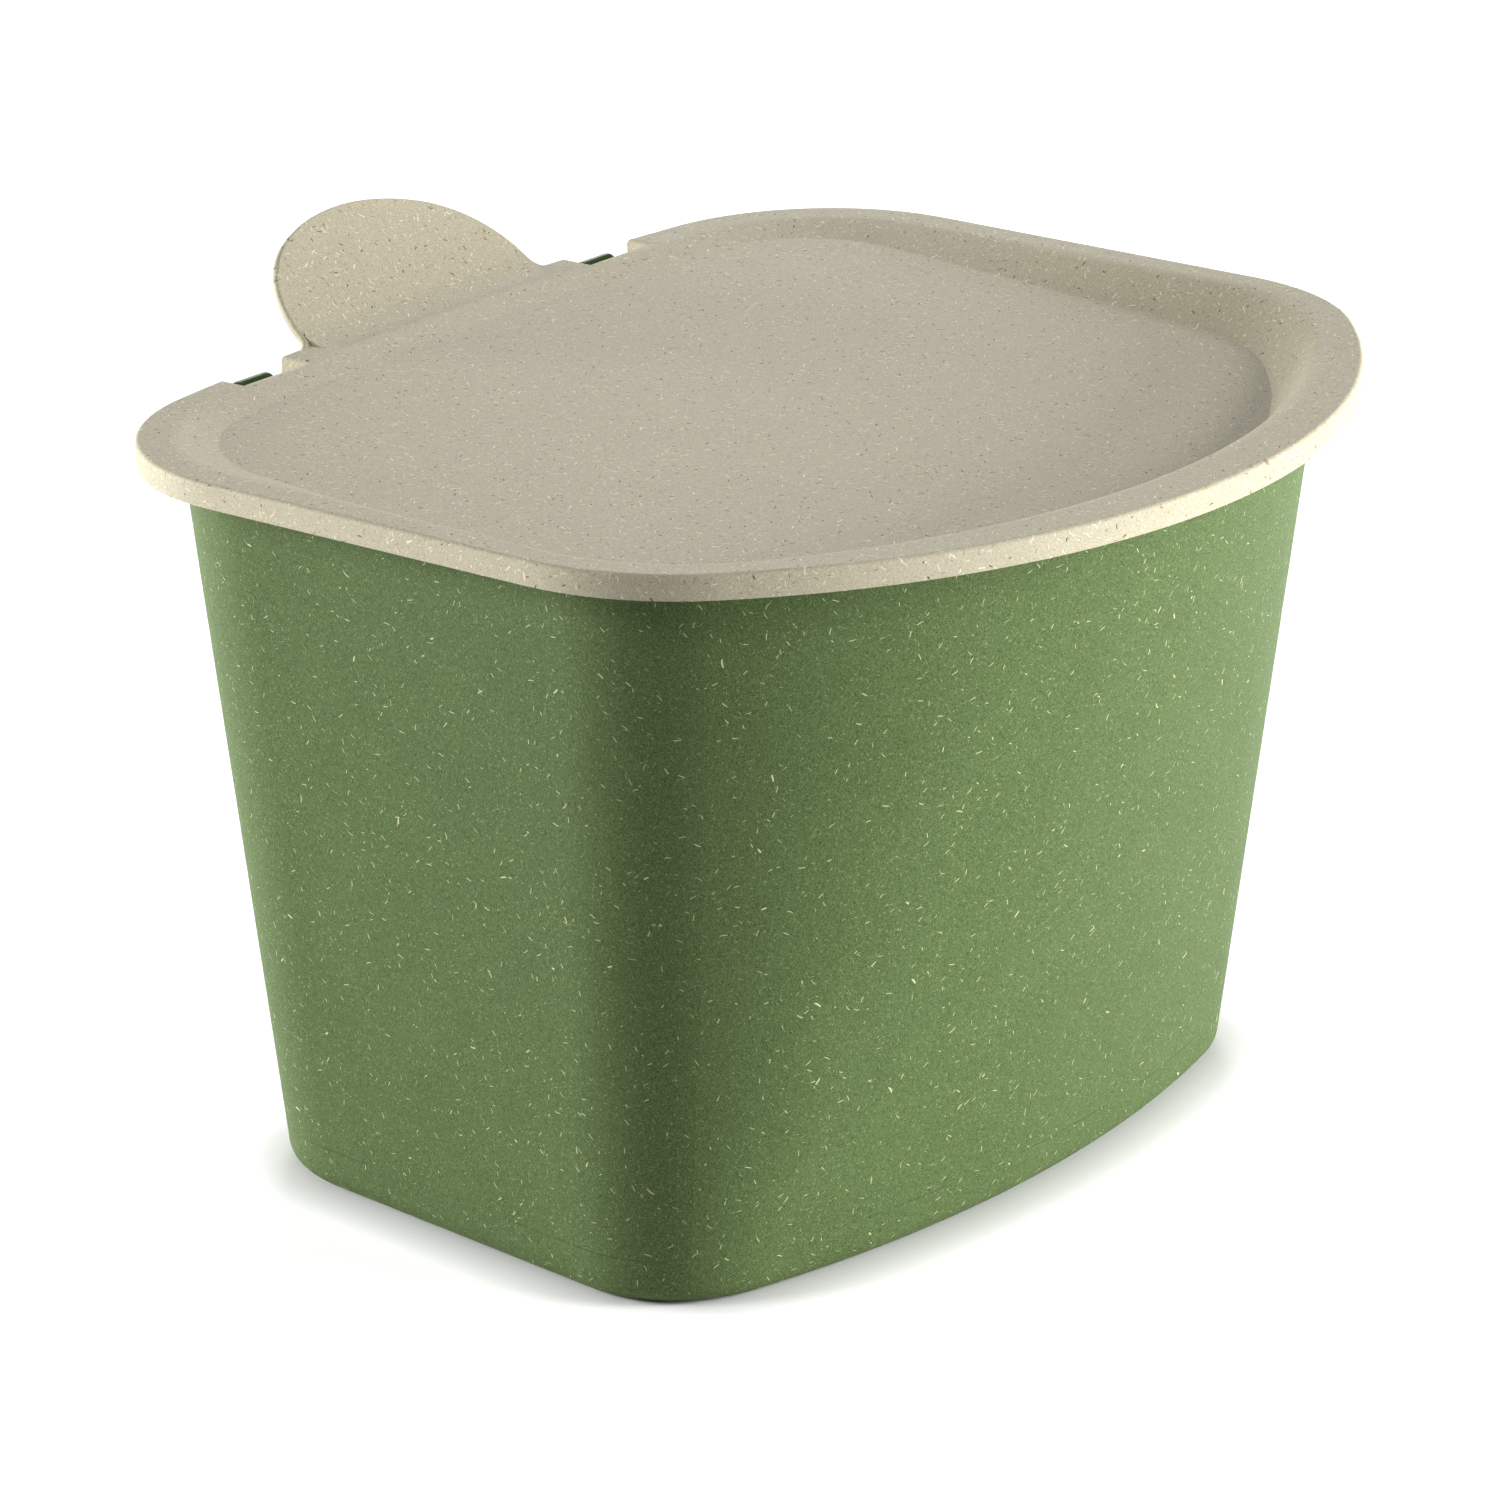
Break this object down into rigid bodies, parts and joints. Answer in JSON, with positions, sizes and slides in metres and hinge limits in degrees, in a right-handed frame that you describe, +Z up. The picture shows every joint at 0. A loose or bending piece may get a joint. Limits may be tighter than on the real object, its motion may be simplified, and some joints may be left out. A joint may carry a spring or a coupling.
{
  "type": "kitchen compost bin",
  "caption": "Countertop food-waste bin: drafted tub with a bowed front and a hinged, dished lid that opens by a rear thumb tab.",
  "frame": {"origin": "on the floor, under the middle of the closed lid's outline seen from above", "axes": "+X to the right seen from the front, +Y towards the hinge and thumb tab, -Y the bowed front, +Z up"},
  "size_m": [0.256, 0.2547, 0.1957],
  "materials": {
    "tub_green": "satin leaf green with pale straw-like flecks",
    "lid_stone": "satin stone beige with small pale and brown flecks",
    "bar_green": "smooth dark green, no flecks"
  },
  "bodies": {
    "tub": {"tub": "tub_green", "hinge_bar_left": "bar_green", "hinge_bar_right": "bar_green"},
    "lid": {"lid": "lid_stone"}
  },
  "joints": [
    {"name": "lid_hinge", "type": "hinge", "parent": "tub", "child": "lid", "pos_m": [0, 0.11253, 0.1722], "axis": [-1, 0, 0], "range_deg": [0, 140]}
  ]
}
